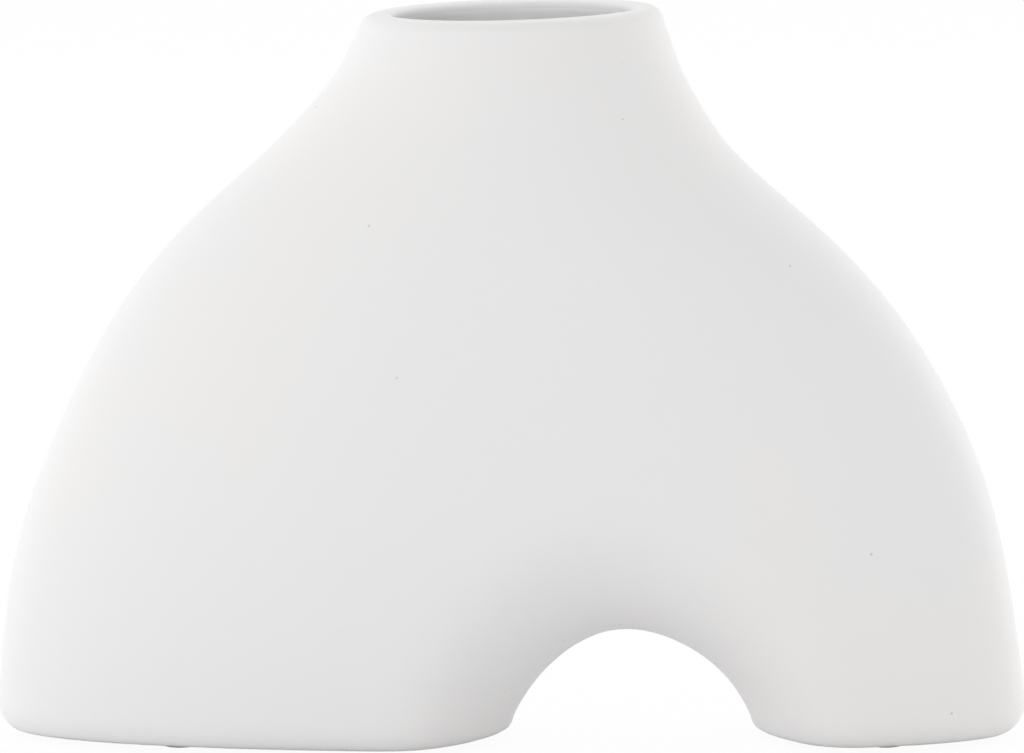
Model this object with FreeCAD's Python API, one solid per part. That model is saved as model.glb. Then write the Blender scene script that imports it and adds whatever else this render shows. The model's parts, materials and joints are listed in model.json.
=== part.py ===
import FreeCAD, Part
import math
import os

# A flattened ceramic vase on two feet: a pillow-shaped hollow body that narrows to an oval mouth,
# with a low arch between its wide foot and its narrow foot. Each foot is dished underneath, and
# felt pads are stuck in the dishes.
# The origin lies under the middle of the body, on the surface that the vase stands on. X runs from
# the wide foot to the narrow one, Y from the front to the back, and Z up.
# Lengths are in millimetres and angles in degrees.

# The body's outside
body_width = 250.0
body_height = 176.5
body_depth = 68.0
mouth_width = 70.8
mouth_depth = 49.0
mouth_tilt = 1.7
foot_round = 6.5

# The casting's wall, its lip, and the rounded floor of its hollow
wall = 7.0
lip_round = 2.2
floor_round = 3.0

# The arch between the feet: its size at the middle of the body's depth, how far its middle lies
# from the body's, how far it would open out if it ran on to the end of its flare, and the radius
# that rounds its edges at the front and the back
arch_width = 60.4
arch_height = 25.4
arch_offset = 29.3
arch_flare = 52.0
arch_blend = 20.0

# The dish in the underside of each foot, inside the ring that shows there
foot_ring = 9.0
dish_depth = 1.2

# The felt pads
pad_diameter = 10.0
pad_thickness = 2.4

# One overrun serves every cut.
overrun = 12.0

# The body's level sections, from the base up. Each has its height as a share of the body's height,
# how far it has widened from the mouth to the full width on the wide foot's side and on the narrow
# foot's side, how far it has deepened from the mouth to the full depth, and how full its corners
# are on those two sides: 2 is an ellipse, and more is squarer.
section_shares = (
    (-0.075, 1.000, 1.000, 0.66, 2.25, 2.70),
    (0.050, 0.999, 0.998, 0.79, 2.25, 2.70),
    (0.180, 0.974, 0.962, 0.94, 2.30, 2.65),
    (0.320, 0.911, 0.903, 1.00, 2.30, 2.55),
    (0.460, 0.800, 0.793, 0.98, 2.25, 2.40),
    (0.600, 0.650, 0.617, 0.89, 2.20, 2.30),
    (0.710, 0.470, 0.408, 0.72, 2.15, 2.15),
    (0.804, 0.269, 0.203, 0.49, 2.05, 2.05),
    (0.884, 0.120, 0.095, 0.27, 2.00, 2.00),
    (0.950, 0.034, 0.028, 0.11, 2.00, 2.00),
    (1.000, 0.000, 0.000, 0.00, 2.00, 2.00),
)
section_points = 28

# Points of the arch's outline, as shares of its half width and of its height
arch_outline_shares = (
    (-1.00, 0.00),
    (-0.88, 0.31),
    (-0.67, 0.64),
    (-0.38, 0.90),
    (-0.04, 1.00),
    (0.34, 0.89),
    (0.67, 0.63),
    (0.88, 0.31),
    (1.00, 0.00),
)

# The arch flares to both faces along a quarter ellipse. It meets the body's full depth at this
# angle of the quarter, and runs past the body to the last angle.
face_angle = 68.0
last_angle = 84.0
flare_steps = 5

# Where the pads lie: along each foot as shares of the way from its outer end to the arch, and to
# the front and the back as a share of the body's half depth
wide_foot_pad_shares = {"outer": 0.36, "inner": 0.76}
narrow_foot_pad_shares = {"middle": 0.53}
pad_depth_share = 0.32

base_z = pad_thickness - dish_depth
lip_z = base_z + body_height
half_width = body_width / 2
half_depth = body_depth / 2
tiny = lip_round / 100


def between(low, high, share):
    return low + (high - low) * share


def curve_through(points, closed):
    """A smooth edge that passes its points at an even pace, so that a row of such edges lofts well."""
    places = [float(place) for place in range(len(points) + closed)]
    curve = Part.BSplineCurve()
    curve.interpolate(points, PeriodicFlag=closed, Parameters=places)
    return curve.toShape()


def level_wire(wide, narrow, deep, wide_fullness, narrow_fullness, z):
    """A level section that reaches wide to -X, narrow to +X and deep to both sides along Y."""
    middle = (narrow - wide) / 2
    reach = (narrow + wide) / 2
    points = []
    for step in range(section_points):
        turn = math.pi + 2 * math.pi * step / section_points
        across, along = math.cos(turn), math.sin(turn)
        power = 2 / (wide_fullness if across < 0 else narrow_fullness)
        points.append(FreeCAD.Vector(
            middle + reach * math.copysign(abs(across) ** power, across),
            deep * math.copysign(abs(along) ** power, along),
            z,
        ))
    return Part.Wire([curve_through(points, True)])


def level_sections():
    """Each section's height, two reaches along X, reach along Y and two fullnesses, past the lip."""
    rows = []
    for height, wide, narrow, deep, *fullness in section_shares:
        rows.append((
            base_z + body_height * height,
            between(mouth_width / 2, half_width, wide),
            between(mouth_width / 2, half_width, narrow),
            between(mouth_depth / 2, half_depth, deep),
            *fullness,
        ))
    below, lip = rows[-2:]
    past = 1 + overrun / (lip[0] - below[0])
    rows.append(tuple(between(under, top, past) for under, top in zip(below, lip)))
    return rows


def pillow(inset):
    """The body before its arch is cut, taken in by inset all over, and running past base and lip."""
    rows = level_sections()
    wires = []
    for index, row in enumerate(rows):
        under = rows[max(index - 1, 0)]
        over = rows[min(index + 1, len(rows) - 1)]
        rise = over[0] - under[0]
        reaches = [value - inset * math.hypot(1, (high - low) / rise)
                   for value, low, high in zip(row[1:4], under[1:4], over[1:4])]
        wires.append(level_wire(*reaches, *row[4:], row[0]))
    return Part.makeLoft(wires, True)


def arch_wire(y, spread):
    """The arch's outline at y, opened out by spread, and closed below the base."""
    points = [
        FreeCAD.Vector(
            arch_offset + (arch_width / 2 + spread) * x,
            y,
            base_z + (arch_height + spread) * z,
        )
        for x, z in arch_outline_shares
    ]
    first, last = points[0], points[-1]
    down = FreeCAD.Vector(0, 0, -2 * overrun)
    sides = [(last, last + down), (last + down, first + down), (first + down, first)]
    return Part.Wire([curve_through(points, False)] + [Part.makeLine(*side) for side in sides])


def arch(inset):
    """What the arch takes out of the pillow, opened out by inset all over."""
    depth_axis = half_depth / math.sin(math.radians(face_angle))
    wires = []
    for step in range(-flare_steps, flare_steps + 1):
        turn = math.radians(last_angle) * step / flare_steps
        spread = inset + arch_flare * (1 - math.cos(turn))
        wires.append(arch_wire(depth_axis * math.sin(turn), spread))
    return Part.makeLoft(wires, True)


def slab(low, high):
    """Everything between two heights."""
    side = 2 * body_width
    return Part.makeBox(side, side, high - low, FreeCAD.Vector(-side / 2, -side / 2, low))


def above_mouth():
    """Everything above the mouth, which leans a little to the wide foot's side."""
    cover = slab(lip_z, lip_z + body_height)
    cover.rotate(FreeCAD.Vector(0, 0, lip_z), FreeCAD.Vector(0, 1, 0), -mouth_tilt)
    return cover


def two_legged(inset, floor_z):
    """The pillow with its arch cut out, taken in by inset all over, and standing on floor_z."""
    return pillow(inset).common(slab(floor_z, lip_z + body_height)).cut(arch(inset))


def rounded(shape, radius, chosen):
    """The shape with the edges that chosen picks rounded by radius."""
    return shape.makeFillet(radius, [edge for edge in shape.Edges if chosen(edge)])


def blended(shape, radius):
    """The shape with the arch's edges at the front and the back rounded: they top out at the belly."""
    belly_z = (base_z + lip_z) / 2
    return rounded(shape, radius, lambda edge: base_z + arch_height < edge.BoundBox.ZMax < belly_z)


def vase_body():
    """The casting: its outside, less its hollow, with a rounded lip and dished feet."""
    outside = blended(two_legged(0, base_z), arch_blend)
    outside = rounded(outside, foot_round, lambda edge: edge.BoundBox.ZMax < base_z + tiny)
    floor_z = base_z + wall
    hollow = blended(two_legged(wall, floor_z), arch_blend - wall)
    hollow = rounded(hollow, floor_round, lambda edge: edge.BoundBox.ZMax < floor_z + tiny)
    body = outside.cut(above_mouth()).cut(hollow)
    low_lip_z = lip_z - mouth_width / 2 * math.sin(math.radians(mouth_tilt))
    body = rounded(body, lip_round, lambda edge: edge.BoundBox.ZMin > low_lip_z - tiny)
    return body.cut(two_legged(foot_ring, base_z).common(slab(base_z, base_z + dish_depth)))


def felt_pads():
    """The pads by name, each from the surface that the vase stands on to the dish above it."""
    feet = {
        "wide": (-half_width, arch_offset - arch_width / 2, wide_foot_pad_shares),
        "narrow": (half_width, arch_offset + arch_width / 2, narrow_foot_pad_shares),
    }
    pad_y = half_depth * pad_depth_share
    pads = {}
    for foot, (outer_x, arch_x, shares) in feet.items():
        for place, share in shares.items():
            pad_x = between(outer_x, arch_x, share)
            for side, y in (("front", -pad_y), ("back", pad_y)):
                pad = Part.makeCylinder(pad_diameter / 2, pad_thickness, FreeCAD.Vector(pad_x, y, 0))
                pads[f"felt_pad_{foot}_foot_{place}_{side}"] = pad
    return pads


def main():
    os.makedirs("parts", exist_ok=True)
    nodes = {"vase_body": vase_body(), **felt_pads()}
    for name, shape in nodes.items():
        print(name, "valid" if shape.isValid() else "not valid", len(shape.Solids), round(shape.Volume))
        shape.exportStep(f"parts/{name}.step")


main()
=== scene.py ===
import json
import math

import bmesh
import bpy
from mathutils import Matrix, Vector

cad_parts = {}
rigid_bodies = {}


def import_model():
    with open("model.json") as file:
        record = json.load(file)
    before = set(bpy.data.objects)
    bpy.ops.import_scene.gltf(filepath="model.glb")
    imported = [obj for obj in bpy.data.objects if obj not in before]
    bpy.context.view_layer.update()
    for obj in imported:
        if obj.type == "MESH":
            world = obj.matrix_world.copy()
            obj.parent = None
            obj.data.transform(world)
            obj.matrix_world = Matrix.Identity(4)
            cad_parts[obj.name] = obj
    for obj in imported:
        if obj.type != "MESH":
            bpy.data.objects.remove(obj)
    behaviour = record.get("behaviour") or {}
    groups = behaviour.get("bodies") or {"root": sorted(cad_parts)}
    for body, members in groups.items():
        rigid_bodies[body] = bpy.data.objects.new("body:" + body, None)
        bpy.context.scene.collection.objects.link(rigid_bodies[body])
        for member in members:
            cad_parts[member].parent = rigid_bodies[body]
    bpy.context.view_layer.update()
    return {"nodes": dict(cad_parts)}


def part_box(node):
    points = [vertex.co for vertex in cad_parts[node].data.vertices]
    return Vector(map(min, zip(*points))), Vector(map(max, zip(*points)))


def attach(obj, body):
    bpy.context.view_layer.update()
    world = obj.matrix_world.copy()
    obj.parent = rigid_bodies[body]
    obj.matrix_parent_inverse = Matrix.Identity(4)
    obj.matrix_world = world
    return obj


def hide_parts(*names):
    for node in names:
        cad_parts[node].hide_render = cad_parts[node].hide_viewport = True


bl_info = {
    "name": "Pillow vase on two feet",
    "version": (1, 0, 0),
    "blender": (4, 5, 0),
    "location": "View3D > Sidebar > Vase",
    "description": "Models and dresses a flattened ceramic vase with an arch between its two feet",
    "category": "Add Mesh",
}

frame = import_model()
body_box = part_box("vase_body")
pad_names = sorted(name for name in frame["nodes"] if name.startswith("felt_pad"))

# Lengths are in metres. The origin lies under the middle of the vase, on the surface it stands on.
# X runs from the wide foot to the narrow one, Y from the front to the back, and Z up.
mm = 0.001

# What counts as the same place, and the angle over which an edge counts as sharp
near = 0.05 * mm
sharp = math.radians(45)

# The slots of the body's finishes
outside_slot, inside_slot, clay_slot = range(3)

# The rings of the body's first rough shape, from just over the rounding of the feet up to the lip:
# height, reach on the wide foot's side, reach on the narrow foot's side and half depth
rings_mm = (
    (9.0, 125.0, 125.0, 32.0),
    (18.0, 124.4, 124.0, 32.6),
    (30.0, 123.0, 122.2, 33.2),
    (43.0, 120.8, 119.8, 33.7),
    (58.0, 117.0, 116.2, 34.0),
    (73.0, 111.5, 111.0, 34.0),
    (88.0, 104.6, 103.8, 33.6),
    (103.0, 96.0, 94.0, 33.1),
    (117.0, 86.0, 81.5, 32.3),
    (130.0, 74.0, 68.2, 30.9),
    (142.0, 60.6, 54.8, 29.3),
    (156.0, 47.2, 44.8, 27.2),
    (168.5, 38.7, 38.1, 25.6),
    (177.7, 35.4, 35.4, 24.5),
)
ring_sides = 40

# The height at which the outside stays open until the feet are shaped from its edges
wall_end = rings_mm[0][0] * mm

# The rough shape is pulled onto the solid up to here. Above it, the rings alone give the neck, and the
# last of them lean more and more until they lie in the mouth's tilt.
skin_top = 165 * mm
leaning_rings = 2

# How much wider than the body the rings are, as a share of their reach: everywhere, and then more and
# more at this rate from this share of the height downwards
spare_share = 0.005
low_spare_share = 0.10
neck_share = 0.88

# The ring columns and rings that the arch takes up, and where its outline goes: ring and column of
# each point, and its place as a share of the arch's half width and height
arch_columns = (-1, 4)
arch_rings = 3
arch_outline = (
    (0, -1, -0.95, 0.19),
    (1, -1, -0.88, 0.32),
    (2, -1, -0.79, 0.47),
    (3, -1, -0.64, 0.67),
    (3, 0, -0.42, 0.87),
    (3, 1, -0.15, 0.985),
    (3, 2, 0.13, 0.985),
    (3, 3, 0.40, 0.86),
    (3, 4, 0.64, 0.66),
    (2, 4, 0.79, 0.46),
    (1, 4, 0.88, 0.31),
    (0, 4, 0.95, 0.19),
)

# Where the arch's front and back edges lie in the rough shape, how far they have opened out there, and
# how many loops run from one to the other
arch_edge_y = 29.5 * mm
arch_edge_spread = 15 * mm
arch_cuts = 5

# The bevel that rounds the lip and the strip that is glazed like the outside, as shares of the lip's
# rounding
lip_bevel_share = 0.95
lip_strip_share = 1.2

# How many rows of the inside are opened again for the hollow's floor, how high over the floor's rounding
# the opening is brought, and how many steps go round the two edges
floor_rows = 2
floor_reserve = 0.8 * mm
foot_steps, floor_steps = 5, 3

# The rings inside a foot's rounded edge: the shares of the flat that they take, then the side of the
# dish, its rim, and how far the last ring lies inside that
flat_shares = (0.8, 0.2)
dish_side = 0.3 * mm
dish_rim = 0.6 * mm
last_ring = 4 * mm

# How far over the feet's undersides the last smoothing starts
smooth_from = 0.5 * mm

# A felt pad: its sides, the rings on its faces as shares of its radius, how far its edge is frayed, and
# how much each pad is turned more than the one before
pad_sides = 48
pad_ring_shares = (0.12, 0.3, 0.3)
pad_fray = 0.06 * mm
pad_turn = math.radians(67)

# The table, which runs on as the backdrop: its width and depth, and its place just under the pads
table_size = (6, 8)
table_place = (0, 2.4, -0.1 * mm)

# The studio: how strong its even light is, and its soft lamps, each with its name, its place, the
# point that it faces, its side and its power in watts
even_light = 0.70
lamps = (
    ("left_back", (-1.5, 0.7, 0.35), (0.0, 0.0, 0.09), 1.4, 7.3),
    ("right_back", (1.5, 0.7, 0.35), (0.0, 0.0, 0.09), 1.4, 10.8),
    ("left_front", (-1.4, -1.2, 0.7), (0.0, 0.0, 0.09), 1.2, 9.1),
    ("right_front", (1.4, -1.2, 0.7), (0.0, 0.0, 0.09), 1.2, 2.3),
    ("high_back", (0.0, 0.9, 1.3), (0.0, 0.0, 0.1), 1.0, 3.9),
)

# The camera: its place, its turn up from looking straight down, its lens and film in millimetres, and
# how far it sees
camera_place = (0, -1.6863, 0.38424)
camera_turn = math.radians(80.05)
camera_lens = 248.906
camera_film = 36
camera_sees = 50


def length(name, description, default):
    return bpy.props.FloatProperty(
        name=name, description=description, default=default, min=0, unit="LENGTH", precision=4)


def colour(name, description, default):
    return bpy.props.FloatVectorProperty(
        name=name, description=description, default=default, size=3, min=0, max=1, subtype="COLOR")


class VaseSizes(bpy.types.PropertyGroup):
    """The sizes of the vase's body and pads."""

    base: length("Base", "Height of the feet's undersides over the table", body_box[0][2])
    wall: length("Wall", "Thickness of the casting's wall", 7 * mm)
    lip_round: length("Lip rounding", "Radius of the lip's edges", 2.2 * mm)
    lip_height: length("Lip height", "Height of the middle of the mouth", 177.7 * mm)
    mouth_tilt: bpy.props.FloatProperty(
        name="Mouth tilt", description="How far the mouth leans to the wide foot",
        default=math.radians(1.7), subtype="ANGLE")
    floor_round: length("Floor rounding", "Radius of the edge round the hollow's floor", 3 * mm)
    foot_round: length("Foot rounding", "Radius of the edges round the feet", 6.5 * mm)
    foot_ring: length("Foot ring", "Width of the ring that each foot stands on", 9 * mm)
    dish_depth: length("Dish depth", "Depth of the dish inside a foot's ring", 1.2 * mm)
    arch_x: length("Arch place", "How far the arch's middle lies from the body's", 29.3 * mm)
    arch_width: length("Arch width", "Width of the arch at the middle of the body's depth", 60.4 * mm)
    arch_height: length("Arch height", "Height of the arch at the middle of the body's depth", 25.4 * mm)
    arch_flare: length("Arch flare", "How far the arch would open out at the end of its quarter", 52 * mm)
    flare_depth: length("Flare depth", "Half depth over which the arch flares a full quarter", 36.67 * mm)
    pad_round: length("Pad edge", "Rounding of a felt pad's edges", 0.35 * mm)


class VaseColours(bpy.types.PropertyGroup):
    """The colours of the vase, its inside, its bare clay and its pads."""

    matte: colour("Matte white", "The outside of the vase", (0.80, 0.796, 0.80))
    warm: colour("Warm drift", "Where the outside turns a little warmer", (0.81, 0.80, 0.795))
    speck: colour("Specks", "Small specks of iron in the clay", (0.42, 0.37, 0.33))
    glaze: colour("Glaze", "The inside of the vase", (0.89, 0.885, 0.88))
    clay: colour("Bare clay", "The undersides of the feet", (0.72, 0.69, 0.64))
    felt: colour("Felt", "The pads under the feet", (0.78, 0.77, 0.74))
    floor: colour("Floor", "The table and the backdrop", (0.95, 0.95, 0.95))


# Selecting and shaping

def begin(name):
    """Opens the newest object for shaping, under its own name."""
    obj = bpy.context.active_object
    obj.name = obj.data.name = name
    open_shape()
    return obj


def open_shape():
    """Goes to edit mode and returns the live shape of the object that is being shaped."""
    if bpy.context.mode != "EDIT_MESH":
        bpy.ops.object.mode_set(mode="EDIT")
    return bmesh.from_edit_mesh(bpy.context.edit_object.data)


def finish_shape(obj):
    """Goes back to object mode, with this object alone selected."""
    if bpy.context.mode != "OBJECT":
        bpy.ops.object.mode_set(mode="OBJECT")
    bpy.ops.object.select_all(action="DESELECT")
    obj.select_set(True)
    bpy.context.view_layer.objects.active = obj


def middle(part):
    """The middle of a vertex, an edge or a face."""
    if isinstance(part, bmesh.types.BMVert):
        return part.co
    if isinstance(part, bmesh.types.BMEdge):
        return (part.verts[0].co + part.verts[1].co) / 2
    return part.calc_center_median()


def many_sided(face):
    """Whether this is one of the large faces that close an opening."""
    return len(face.verts) > 4


def choose(kind, test):
    """Selects the vertices, edges or faces that pass the test, and nothing else."""
    open_shape()
    bpy.ops.mesh.select_mode(type=kind)
    bpy.ops.mesh.select_all(action="DESELECT")
    shape = open_shape()
    parts = {"VERT": shape.verts, "EDGE": shape.edges, "FACE": shape.faces}[kind]
    chosen = [part for part in parts if test(part)]
    for part in chosen:
        part.select_set(True)
    bmesh.update_edit_mesh(bpy.context.edit_object.data)
    if not chosen:
        raise RuntimeError(f"nothing was found to select among {kind}")


def chosen_reach():
    """How far the selected vertices reach along X and along Y."""
    shape = open_shape()
    places = [vertex.co.copy() for vertex in shape.verts if vertex.select]
    return [(min(place[axis] for place in places), max(place[axis] for place in places)) for axis in (0, 1)]


def move(x=0, y=0, z=0):
    bpy.ops.transform.translate(value=(x, y, z))


def stretch(x=1, y=1, z=1, about=(0, 0, 0)):
    bpy.ops.transform.resize(value=(x, y, z), center_override=about)


def face_outwards():
    """Merges what lies in the same place and turns all faces outwards."""
    bpy.ops.mesh.select_all(action="SELECT")
    bpy.ops.mesh.remove_doubles(threshold=0.01 * mm)
    bpy.ops.mesh.normals_make_consistent(inside=False)


def paint(obj, slot):
    """Gives the selected faces the finish in this slot."""
    obj.active_material_index = slot
    bpy.ops.object.material_slot_assign()


def mark_skin(obj, test):
    """Makes the vertices that pass the test the only ones that wrap and relax move."""
    obj.vertex_groups.clear()
    choose("VERT", test)
    bpy.ops.object.vertex_group_assign_new()
    obj.vertex_groups[-1].name = "skin"


def apply_modifier(obj, kind, **settings):
    """Adds one modifier with its settings, and applies it."""
    finish_shape(obj)
    modifier = obj.modifiers.new(kind.title(), kind)
    for key, value in settings.items():
        setattr(modifier, key, value)
    bpy.ops.object.modifier_apply(modifier=modifier.name)


def subdivide(obj):
    """Cuts each face in four and smooths the whole."""
    apply_modifier(obj, "SUBSURF", levels=1, render_levels=1)


def wrap(obj):
    """Pulls the skin onto the solid's surface."""
    apply_modifier(obj, "SHRINKWRAP", target=frame["nodes"]["vase_body"], vertex_group="skin",
                   wrap_method="NEAREST_SURFACEPOINT", wrap_mode="ON_SURFACE")


def relax(obj, times):
    """Evens out the skin."""
    apply_modifier(obj, "SMOOTH", factor=0.5, iterations=times, vertex_group="skin")


def give(piece, node, slot, *finishes):
    """Hands a finished piece its finishes and its place in the frame, and hides the node that it stands for.
    """
    for finish in finishes:
        piece.data.materials.append(finish)
    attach(piece, "root")
    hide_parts(node)


# Shader maths

class Value:
    """A number that varies over a surface, so that shader maths reads as a sum."""

    def __init__(self, finish, socket):
        self.finish = finish
        self.socket = socket

    def math(self, operation, *others):
        return self.finish.node("ShaderNodeMath", {"operation": operation}, self, *others)

    def __add__(self, other):
        return self.math("ADD", other)

    def __sub__(self, other):
        return self.math("SUBTRACT", other)

    def __mul__(self, other):
        return self.math("MULTIPLY", other)

    def __abs__(self):
        return self.math("ABSOLUTE")

    def __gt__(self, other):
        return self.math("GREATER_THAN", other)

    def __radd__(self, other):
        return self.math("ADD", other)

    def __rmul__(self, other):
        return self.math("MULTIPLY", other)

    def __rsub__(self, other):
        return self.finish.node("ShaderNodeMath", {"operation": "SUBTRACT"}, other, self)


class Finish:
    """A material and the nodes that it is made of."""

    def __init__(self, name):
        self.material = bpy.data.materials.new(name)
        self.material.use_nodes = True
        self.tree = self.material.node_tree
        self.shader = self.tree.nodes["Principled BSDF"]
        self.place = self.node("ShaderNodeTexCoord", {}, output="Object")

    def node(self, kind, settings, *inputs, output=0, **named):
        """Adds a node, gives it its settings and then its inputs, and returns one of its outputs."""
        node = self.tree.nodes.new(kind)
        for key, value in settings.items():
            setattr(node, key, value)
        sockets = [(node.inputs[index], value) for index, value in enumerate(inputs)]
        sockets += [(node.inputs[key.replace("_", " ")], value) for key, value in named.items()]
        for socket, value in sockets:
            self.join(socket, value)
        return Value(self, node.outputs[output])

    def join(self, socket, value):
        if isinstance(value, Value):
            self.tree.links.new(value.socket, socket)
        elif value is not None:
            socket.default_value = value

    def noise(self, scale, detail=3, roughness=0.5, output="Fac"):
        return self.node("ShaderNodeTexNoise", {}, output=output,
                         Vector=self.place, Scale=scale, Detail=detail, Roughness=roughness)

    def between(self, value, low, high, to_low=0.0, to_high=1.0):
        """Runs smoothly from to_low to to_high as the value goes from low to high."""
        return self.node("ShaderNodeMapRange", {"interpolation_type": "SMOOTHSTEP"},
                         value, low, high, to_low, to_high)

    def mix(self, share, first, second):
        """Mixes two colours, of which either may vary."""
        node = self.tree.nodes.new("ShaderNodeMix")
        node.data_type = "RGBA"
        for socket, value in zip((node.inputs[0], node.inputs[6], node.inputs[7]), (share, first, second)):
            self.join(socket, value if isinstance(value, (Value, float)) else (*value, 1))
        return Value(self, node.outputs[2])

    def along(self, axis):
        return self.node("ShaderNodeSeparateXYZ", {}, self.place, output=axis)

    def bump(self, height, depth, under=None):
        """Raises the surface by depth where height is one, on top of another bump."""
        return self.node("ShaderNodeBump", {}, Strength=1.0, Distance=depth, Height=height, Normal=under)

    def finish(self, base, roughness, normal, **constants):
        self.join(self.shader.inputs["Base Color"], base)
        self.join(self.shader.inputs["Roughness"], roughness)
        self.join(self.shader.inputs["Normal"], normal)
        for key, value in constants.items():
            self.shader.inputs[key.replace("_", " ")].default_value = value
        return self.material


def dimmed(tone, share):
    """A share of a colour's light."""
    return tuple(share * part for part in tone)


def matte_ceramic(colours):
    """Matte white glaze: a fine tooth, a soft unevenness of the casting, a faint seam and a few specks."""
    finish = Finish("matte white ceramic")
    drift = finish.between(finish.noise(14, 2), 0.35, 0.65)
    grain = finish.noise(1500, 4, 0.6)
    spots, rare = (
        finish.node("ShaderNodeTexVoronoi", {"feature": "F1"}, output=output,
                    Vector=finish.place, Scale=150.0, Randomness=1.0)
        for output in ("Distance", "Color")
    )
    pick = finish.node("ShaderNodeSeparateColor", {}, rare)
    speck = finish.between(spots, 0.03, 0.065, 1.0, 0.0) * (pick > 0.86)
    base = finish.mix(drift, tuple(colours.matte), tuple(colours.warm))
    base = finish.mix(speck * 0.55, base, tuple(colours.speck))
    seam = finish.between(abs(finish.along("Y")), 0.0, 0.9 * mm, 1.0, 0.0)
    swell = finish.bump(finish.noise(22, 2), 0.25 * mm)
    tooth = finish.bump(grain, 0.012 * mm, swell)
    normal = finish.bump(seam, 0.03 * mm, tooth)
    roughness = 0.56 + 0.12 * grain + 0.05 * drift
    return finish.finish(base, roughness, normal, Specular_IOR_Level=0.35)


def satin_glaze(colours):
    """The glaze inside, smoother than the outside and pooled a little."""
    finish = Finish("satin glaze")
    pooled = finish.noise(60, 3)
    base = finish.mix(finish.between(pooled, 0.3, 0.7), tuple(colours.glaze), dimmed(colours.glaze, 0.97))
    normal = finish.bump(pooled, 0.12 * mm)
    return finish.finish(base, 0.30 + 0.12 * pooled, normal, Coat_Weight=0.15, Coat_Roughness=0.25)


def bare_clay(colours):
    """Clay that was wiped clean of glaze before firing, with sponge marks and fine grog."""
    finish = Finish("bare clay")
    wiped = finish.noise(160, 4, 0.65)
    grog = finish.noise(2400, 3, 0.7)
    base = finish.mix(finish.between(wiped, 0.3, 0.7), tuple(colours.clay), dimmed(colours.clay, 0.92))
    normal = finish.bump(grog, 0.05 * mm, finish.bump(wiped, 0.08 * mm))
    return finish.finish(base, 0.82 + 0.1 * grog, normal, Specular_IOR_Level=0.2)


def dense_felt(colours):
    """Pressed felt: crossed fibres, a little lint and an uneven tone."""
    finish = Finish("dense felt")
    lint = finish.noise(900, 5, 0.75)
    fibres = finish.node("ShaderNodeTexWave", {"wave_type": "BANDS", "bands_direction": "DIAGONAL"},
                         output="Fac", Vector=finish.place, Scale=700.0, Distortion=14.0, Detail=4.0,
                         Detail_Scale=1.6)
    base = finish.mix(finish.between(lint * 0.6 + fibres * 0.4, 0.3, 0.75),
                      dimmed(colours.felt, 0.86), tuple(colours.felt))
    normal = finish.bump(lint, 0.12 * mm, finish.bump(fibres, 0.08 * mm))
    return finish.finish(base, 0.9 + 0.08 * lint, normal, Sheen_Weight=0.35, Sheen_Roughness=0.5)


# The vase's body

def stand_off(height, sizes):
    """How much wider than the body a ring of the rough shape is, so that all of it lies outside."""
    share = (height - sizes.base) / (sizes.lip_height - sizes.base)
    return 1 + spare_share + low_spare_share * max(0, neck_share - share)


def ring(index, sizes):
    """A ring's height, its middle along X, its reach and its half depth, in metres."""
    height, wide, narrow, deep = (value * mm for value in rings_mm[index])
    more = stand_off(height, sizes)
    return height, (narrow - wide) / 2, more * (narrow + wide) / 2, more * deep


def raise_rings(sizes):
    """Draws the lowest ring and pulls it up ring by ring to the lip. The last rings lean."""
    bpy.ops.mesh.primitive_circle_add(vertices=ring_sides, radius=1, fill_type="NOTHING")
    obj = begin("pillow_vase_body")
    height, place, reach, deep = ring(0, sizes)
    stretch(reach, deep, 1)
    move(place, 0, height)
    for index in range(1, len(rings_mm)):
        above, next_place, next_reach, next_deep = ring(index, sizes)
        bpy.ops.mesh.extrude_region()
        move(next_place - place, 0, above - height)
        stretch(next_reach / reach, next_deep / deep, 1, (next_place, 0, above))
        height, place, reach, deep = above, next_place, next_reach, next_deep
        rings_left = len(rings_mm) - 1 - index
        lean = sizes.mouth_tilt * max(0, 1 - rings_left / leaning_rings)
        if lean:
            shape = open_shape()
            for vertex in shape.verts:
                if vertex.select:
                    vertex.co.z = above + vertex.co.x * math.tan(lean)
            bmesh.update_edit_mesh(obj.data)
    return obj


def flare(y, sizes):
    """How far the arch has opened out at this distance from the middle of the body's depth."""
    return sizes.arch_flare * (1 - math.cos(math.asin(min(1, abs(y) / sizes.flare_depth))))


def cut_arch(sizes):
    """Takes the arch's faces out of the front and the back, and joins the two openings."""
    top = rings_mm[arch_rings][0] * mm + mm
    left, right = (ring(0, sizes)[2] * math.sin(2 * math.pi * column / ring_sides) for column in arch_columns)
    choose("FACE", lambda face: middle(face).z < top and left < middle(face).x < right)
    bpy.ops.mesh.delete(type="FACE")
    half_width, tall = sizes.arch_width / 2 + arch_edge_spread, sizes.arch_height + arch_edge_spread
    places = []
    for index, column, across, up in arch_outline:
        height, place, reach, deep = ring(index, sizes)
        turn = 2 * math.pi * column / ring_sides
        x, y = place + reach * math.sin(turn), deep * math.cos(turn)
        choose("VERT", lambda v: max(abs(v.co.x - x), abs(abs(v.co.y) - y), abs(v.co.z - height)) < mm)
        new_x, new_z = sizes.arch_x + half_width * across, sizes.base + tall * up
        move(new_x - x, 0, new_z - height)
        stretch(1, arch_edge_y / y, 1)
        places.append((new_x, new_z))

    def on_outline(vertex):
        return any(math.hypot(vertex.co.x - x, vertex.co.z - z) < near for x, z in places)

    choose("EDGE", lambda edge: edge.is_boundary and all(on_outline(vertex) for vertex in edge.verts))
    bpy.ops.mesh.bridge_edge_loops(number_cuts=arch_cuts, interpolation="LINEAR")
    rise = sizes.base - wall_end
    for step in range(1, arch_cuts // 2 + 2):
        y = arch_edge_y * (1 - 2 * step / (arch_cuts + 1))
        choose("VERT", lambda v: abs(abs(v.co.y) - y) < mm and left < v.co.x < right and v.co.z < top)
        opened = flare(y, sizes)
        stretch((sizes.arch_width / 2 + opened) / half_width, 1,
                (rise + sizes.arch_height + opened) / (rise + tall), (sizes.arch_x, 0, wall_end))


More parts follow.
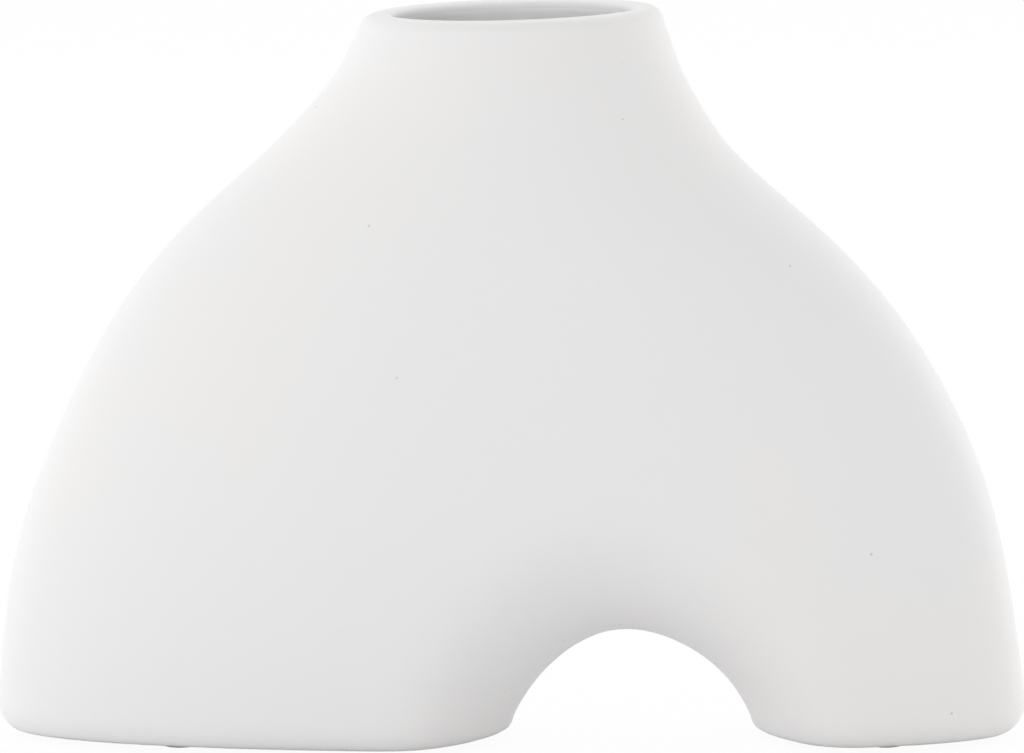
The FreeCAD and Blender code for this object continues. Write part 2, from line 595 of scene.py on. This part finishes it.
def run_on(obj, test, height, slope=0):
    """Runs an open edge on along its own slope to a plane, given by its height at X = 0 and its slope."""
    shape = open_shape()
    for vertex in [v for v in shape.verts if v.is_boundary and test(v)]:
        next_row = next(edge.other_vert(vertex) for edge in vertex.link_edges if not edge.is_boundary)
        along = vertex.co - next_row.co
        short = height + slope * vertex.co.x - vertex.co.z
        vertex.co += along * short / (along.z - slope * along.x)
    bmesh.update_edit_mesh(obj.data)


def give_wall(obj, sizes):
    """Gives the skin its wall, and joins the outside to the inside over a rounded lip."""
    run_on(obj, lambda v: v.co.z < skin_top, wall_end)
    apply_modifier(obj, "SOLIDIFY", thickness=sizes.wall, offset=-1, use_rim=False,
                   material_offset=inside_slot)
    slope = math.tan(sizes.mouth_tilt)
    run_on(obj, lambda v: v.co.z > skin_top, sizes.lip_height, slope)
    choose("EDGE", lambda edge: edge.is_boundary and middle(edge).z > skin_top)
    bpy.ops.mesh.bridge_edge_loops()

    def below_lip(point):
        return sizes.lip_height + slope * point.x - point.z

    def on_lip(edge):
        return all(abs(below_lip(vertex.co)) < near for vertex in edge.verts)

    choose("EDGE", lambda edge: on_lip(edge) and edge.calc_face_angle(0) > sharp)
    bpy.ops.mesh.bevel(offset=lip_bevel_share * sizes.lip_round, segments=2, profile=0.5, affect="EDGES")
    strip = lip_strip_share * sizes.lip_round
    choose("FACE", lambda face: below_lip(middle(face)) < strip and face.normal.z > 0.05)
    paint(obj, outside_slot)


def rounding(radius, count):
    """The steps, each a way inwards and a way down, that turn a wall into a floor over a quarter circle."""
    angles = [math.pi / 2 * step / count for step in range(count + 1)]
    return [(radius * (math.cos(low) - math.cos(high)), radius * (math.sin(high) - math.sin(low)))
            for low, high in zip(angles, angles[1:])]


def open_floors(obj, height):
    """Takes away the lowest rows of the inside, and brings its open edges to this height."""
    for row in range(floor_rows):
        choose("FACE", lambda face: face.material_index == inside_slot
               and any(vertex.is_boundary for vertex in face.verts))
        bpy.ops.mesh.delete(type="FACE")
    run_on(obj, lambda v: v.link_faces[0].material_index == inside_slot, height)


def carry_on(steps):
    """Carries the selected face on by steps, each of which draws it in and moves it down."""
    (left, right), (front, back) = chosen_reach()
    reach, deep = (right - left) / 2, (back - front) / 2
    for inwards, down in steps:
        bpy.ops.mesh.extrude_region()
        stretch(1 - inwards / reach, 1 - inwards / deep, 1, ((left + right) / 2, 0, 0))
        move(z=-down)
        reach, deep = reach - inwards, deep - inwards


def shape_feet(obj, sizes):
    """Closes each leg twice: outside with its rounded edge, ring and dish, inside with a flat floor."""
    floor = sizes.base + sizes.wall
    inner_end = floor + sizes.floor_round + floor_reserve
    open_floors(obj, inner_end)

    def of_leg(part, side):
        return side * (middle(part).x - sizes.arch_x) > 0

    for slot, height in ((outside_slot, wall_end), (inside_slot, inner_end)):
        for side in (-1, 1):
            choose("EDGE", lambda edge: edge.is_boundary and abs(middle(edge).z - height) < near
                   and of_leg(edge, side))
            bpy.ops.mesh.edge_face_add()
            paint(obj, slot)
    face_outwards()
    flat = sizes.foot_ring - sizes.foot_round
    outside = [(0, wall_end - sizes.base - sizes.foot_round)] + rounding(sizes.foot_round, foot_steps)
    outside += [(share * flat, 0) for share in flat_shares]
    outside += [(dish_side, -sizes.dish_depth), (dish_rim, 0), (last_ring, 0)]
    inside = [(0, inner_end - floor - sizes.floor_round)] + rounding(sizes.floor_round, floor_steps)
    inside += [(last_ring, 0)]
    for slot, steps in ((outside_slot, outside), (inside_slot, inside)):
        for side in (-1, 1):
            choose("FACE", lambda face: many_sided(face) and face.material_index == slot
                   and of_leg(face, side))
            carry_on(steps)


def settle_feet(obj, sizes):
    """Pulls the outside onto the solid once more and evens out the feet's rounded edges."""
    def outside(vertex):
        in_dish = abs(vertex.co.z - sizes.base - sizes.dish_depth) < near
        return vertex.co.z < skin_top and vertex.link_faces[0].material_index == outside_slot and not in_dish

    def round_foot(vertex):
        return sizes.base + smooth_from < vertex.co.z < 2 * wall_end and outside(vertex)

    mark_skin(obj, outside)
    wrap(obj)
    mark_skin(obj, round_foot)
    relax(obj, 3)


def bare_feet(obj, sizes):
    """Leaves the flat undersides and the dishes without glaze."""
    top = sizes.base + 1.5 * sizes.dish_depth
    choose("FACE", lambda face: middle(face).z < top and face.normal.z < -0.96)
    paint(obj, clay_slot)


class MakeBody(bpy.types.Operator):
    """Models the vase's body: its outside from rings, its arch, its wall and lip, and its feet"""

    bl_idname = "vase.make_body"
    bl_label = "Vase body"

    def execute(self, context):
        sizes, colours = context.scene.vase_sizes, context.scene.vase_colours
        bpy.ops.object.select_all(action="DESELECT")
        obj = raise_rings(sizes)
        cut_arch(sizes)
        face_outwards()
        mark_skin(obj, lambda v: v.co.z < skin_top)
        subdivide(obj)
        wrap(obj)
        relax(obj, 4)
        wrap(obj)
        run_on(obj, lambda v: v.co.z < skin_top, wall_end)
        subdivide(obj)
        wrap(obj)
        relax(obj, 2)
        for finish in (matte_ceramic(colours), satin_glaze(colours), bare_clay(colours)):
            obj.data.materials.append(finish)
        give_wall(obj, sizes)
        shape_feet(obj, sizes)
        settle_feet(obj, sizes)
        bare_feet(obj, sizes)
        subdivide(obj)
        open_shape()
        bpy.ops.mesh.select_all(action="SELECT")
        bpy.ops.mesh.faces_shade_smooth()
        finish_shape(obj)
        obj.vertex_groups.clear()
        give(obj, "vase_body", "ceramic")
        return {"FINISHED"}


class MakePads(bpy.types.Operator):
    """Models one felt pad with soft, slightly uneven edges, and puts a copy of it under each place"""

    bl_idname = "vase.make_pads"
    bl_label = "Felt pads"

    def execute(self, context):
        felt = dense_felt(context.scene.vase_colours)
        bpy.ops.object.select_all(action="DESELECT")
        first = self.model_pad(context.scene.vase_sizes)
        for name in pad_names[1:]:
            finish_shape(first)
            bpy.ops.object.duplicate()
            copy = context.active_object
            copy.name = copy.data.name = f"{name}_dressed"
        for index, name in enumerate(pad_names):
            pad = bpy.data.objects[f"{name}_dressed"]
            self.place(pad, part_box(name), index * pad_turn)
            give(pad, name, "felt", felt)
        return {"FINISHED"}

    def model_pad(self, sizes):
        """Models the first pad at the origin: bevelled, ringed on its faces and frayed round its edge."""
        low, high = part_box(pad_names[0])
        radius, thick = (high[0] - low[0]) / 2, high[2] - low[2]
        bpy.ops.mesh.primitive_cylinder_add(vertices=pad_sides, radius=radius, depth=thick)
        pad = begin(f"{pad_names[0]}_dressed")
        choose("EDGE", lambda edge: edge.calc_face_angle(0) > sharp)
        bpy.ops.mesh.bevel(offset=sizes.pad_round, segments=3, profile=0.5, affect="EDGES")
        choose("FACE", many_sided)
        for share in pad_ring_shares:
            bpy.ops.mesh.inset(thickness=share * radius, depth=0, use_individual=True)
        choose("FACE", lambda face: not many_sided(face) and abs(face.normal.z) < 0.3)
        bpy.ops.mesh.subdivide(number_cuts=2)
        choose("VERT", lambda v: abs(v.co.z) < 0.4 * thick)
        bpy.ops.transform.vertex_random(offset=pad_fray, uniform=0.2, normal=0.8, seed=4)
        finish_shape(pad)
        apply_modifier(pad, "SMOOTH", factor=0.5, iterations=1)
        bpy.ops.object.shade_smooth()
        return pad

    def place(self, pad, box, turn):
        """Turns a pad by its own angle and moves it into its box, so that its place is in its mesh."""
        finish_shape(pad)
        bpy.ops.transform.rotate(value=turn, orient_axis="Z", center_override=(0, 0, 0))
        bpy.ops.transform.translate(value=[(low + high) / 2 for low, high in zip(*box)])
        bpy.ops.object.transform_apply(location=True, rotation=True, scale=True)


class MakeStage(bpy.types.Operator):
    """Lays the table and the backdrop, and sets the lamps, the world and the camera"""

    bl_idname = "vase.make_stage"
    bl_label = "Stage"

    def execute(self, context):
        scene = context.scene
        bpy.ops.object.select_all(action="DESELECT")
        bpy.ops.mesh.primitive_plane_add(size=1)
        floor = begin("table_top")
        stretch(*table_size)
        move(*table_place)
        finish_shape(floor)
        floor.data.materials.append(self.pale_floor(scene.vase_colours))
        self.light_world(scene)
        for row in lamps:
            self.lamp(*row)
        self.camera(scene)
        scene.view_settings.view_transform = "Standard"
        return {"FINISHED"}

    def pale_floor(self, colours):
        """Pale floor that shows nearly white to the camera and keeps the vase's soft shadow."""
        finish = Finish("pale floor")
        shade = finish.noise(6, 2)
        base = finish.mix(shade, tuple(colours.floor), dimmed(colours.floor, 0.99))
        finish.finish(base, 0.9 + 0.05 * shade, finish.bump(finish.noise(300, 2), 0.02 * mm))
        seen = finish.node("ShaderNodeLightPath", {}, output="Is Camera Ray")
        bright = finish.node("ShaderNodeEmission", {}, (1, 1, 1, 1), 1.0)
        lit = Value(finish, finish.shader.outputs[0])
        mixed = finish.node("ShaderNodeMixShader", {}, seen * 0.95, lit, bright)
        finish.join(finish.tree.nodes["Material Output"].inputs["Surface"], mixed)
        return finish.material

    def light_world(self, scene):
        """Lights the vase evenly, and shows plain white to the camera and in reflections."""
        world = bpy.data.worlds.new("white studio")
        world.use_nodes = True
        tree = world.node_tree
        tree.nodes.clear()
        path = tree.nodes.new("ShaderNodeLightPath")
        seen = tree.nodes.new("ShaderNodeMath")
        seen.operation = "MAXIMUM"
        tree.links.new(path.outputs["Is Camera Ray"], seen.inputs[0])
        tree.links.new(path.outputs["Is Glossy Ray"], seen.inputs[1])
        mixed = tree.nodes.new("ShaderNodeMixShader")
        tree.links.new(seen.outputs[0], mixed.inputs[0])
        for socket, strength in zip(mixed.inputs[1:], (even_light, 1)):
            light = tree.nodes.new("ShaderNodeBackground")
            light.inputs["Color"].default_value = (1, 1, 1, 1)
            light.inputs["Strength"].default_value = strength
            tree.links.new(light.outputs[0], socket)
        out = tree.nodes.new("ShaderNodeOutputWorld")
        tree.links.new(mixed.outputs[0], out.inputs["Surface"])
        scene.world = world

    def lamp(self, name, place, faces, side, power):
        """Adds a square soft lamp that the camera doesn't see."""
        bpy.ops.object.light_add(type="AREA", location=place)
        lamp = bpy.context.active_object
        lamp.name = name
        lamp.data.shape = "SQUARE"
        lamp.data.size = side
        lamp.data.energy = power
        lamp.visible_camera = False
        away = [a - b for a, b in zip(place, faces)]
        flat = math.hypot(away[0], away[1])
        lamp.rotation_euler = (math.atan2(flat, away[2]), 0, math.atan2(away[0], -away[1]))

    def camera(self, scene):
        """Puts the camera at the photograph's angle, far off with a long lens."""
        bpy.ops.object.camera_add(location=camera_place, rotation=(camera_turn, 0, 0))
        camera = bpy.context.active_object
        camera.data.lens = camera_lens
        camera.data.sensor_width = camera_film
        camera.data.sensor_fit = "HORIZONTAL"
        camera.data.clip_end = camera_sees
        scene.camera = camera


class VasePanel(bpy.types.Panel):
    """Lists the steps, the sizes and the colours"""

    bl_label = "Pillow vase"
    bl_idname = "VIEW3D_PT_pillow_vase"
    bl_space_type = "VIEW_3D"
    bl_region_type = "UI"
    bl_category = "Vase"

    def draw(self, context):
        for operator in (MakeBody, MakePads, MakeStage):
            self.layout.operator(operator.bl_idname)
        for group in (context.scene.vase_sizes, context.scene.vase_colours):
            box = self.layout.box()
            for key in group.__annotations__:
                box.prop(group, key)


classes = (VaseSizes, VaseColours, MakeBody, MakePads, MakeStage, VasePanel)


def register():
    for cls in classes:
        bpy.utils.register_class(cls)
    bpy.types.Scene.vase_sizes = bpy.props.PointerProperty(type=VaseSizes)
    bpy.types.Scene.vase_colours = bpy.props.PointerProperty(type=VaseColours)


def unregister():
    del bpy.types.Scene.vase_sizes, bpy.types.Scene.vase_colours
    for cls in reversed(classes):
        bpy.utils.unregister_class(cls)


def main():
    register()
    bpy.ops.vase.make_body()
    bpy.ops.vase.make_pads()
    bpy.ops.vase.make_stage()


if __name__ == "__main__":
    main()
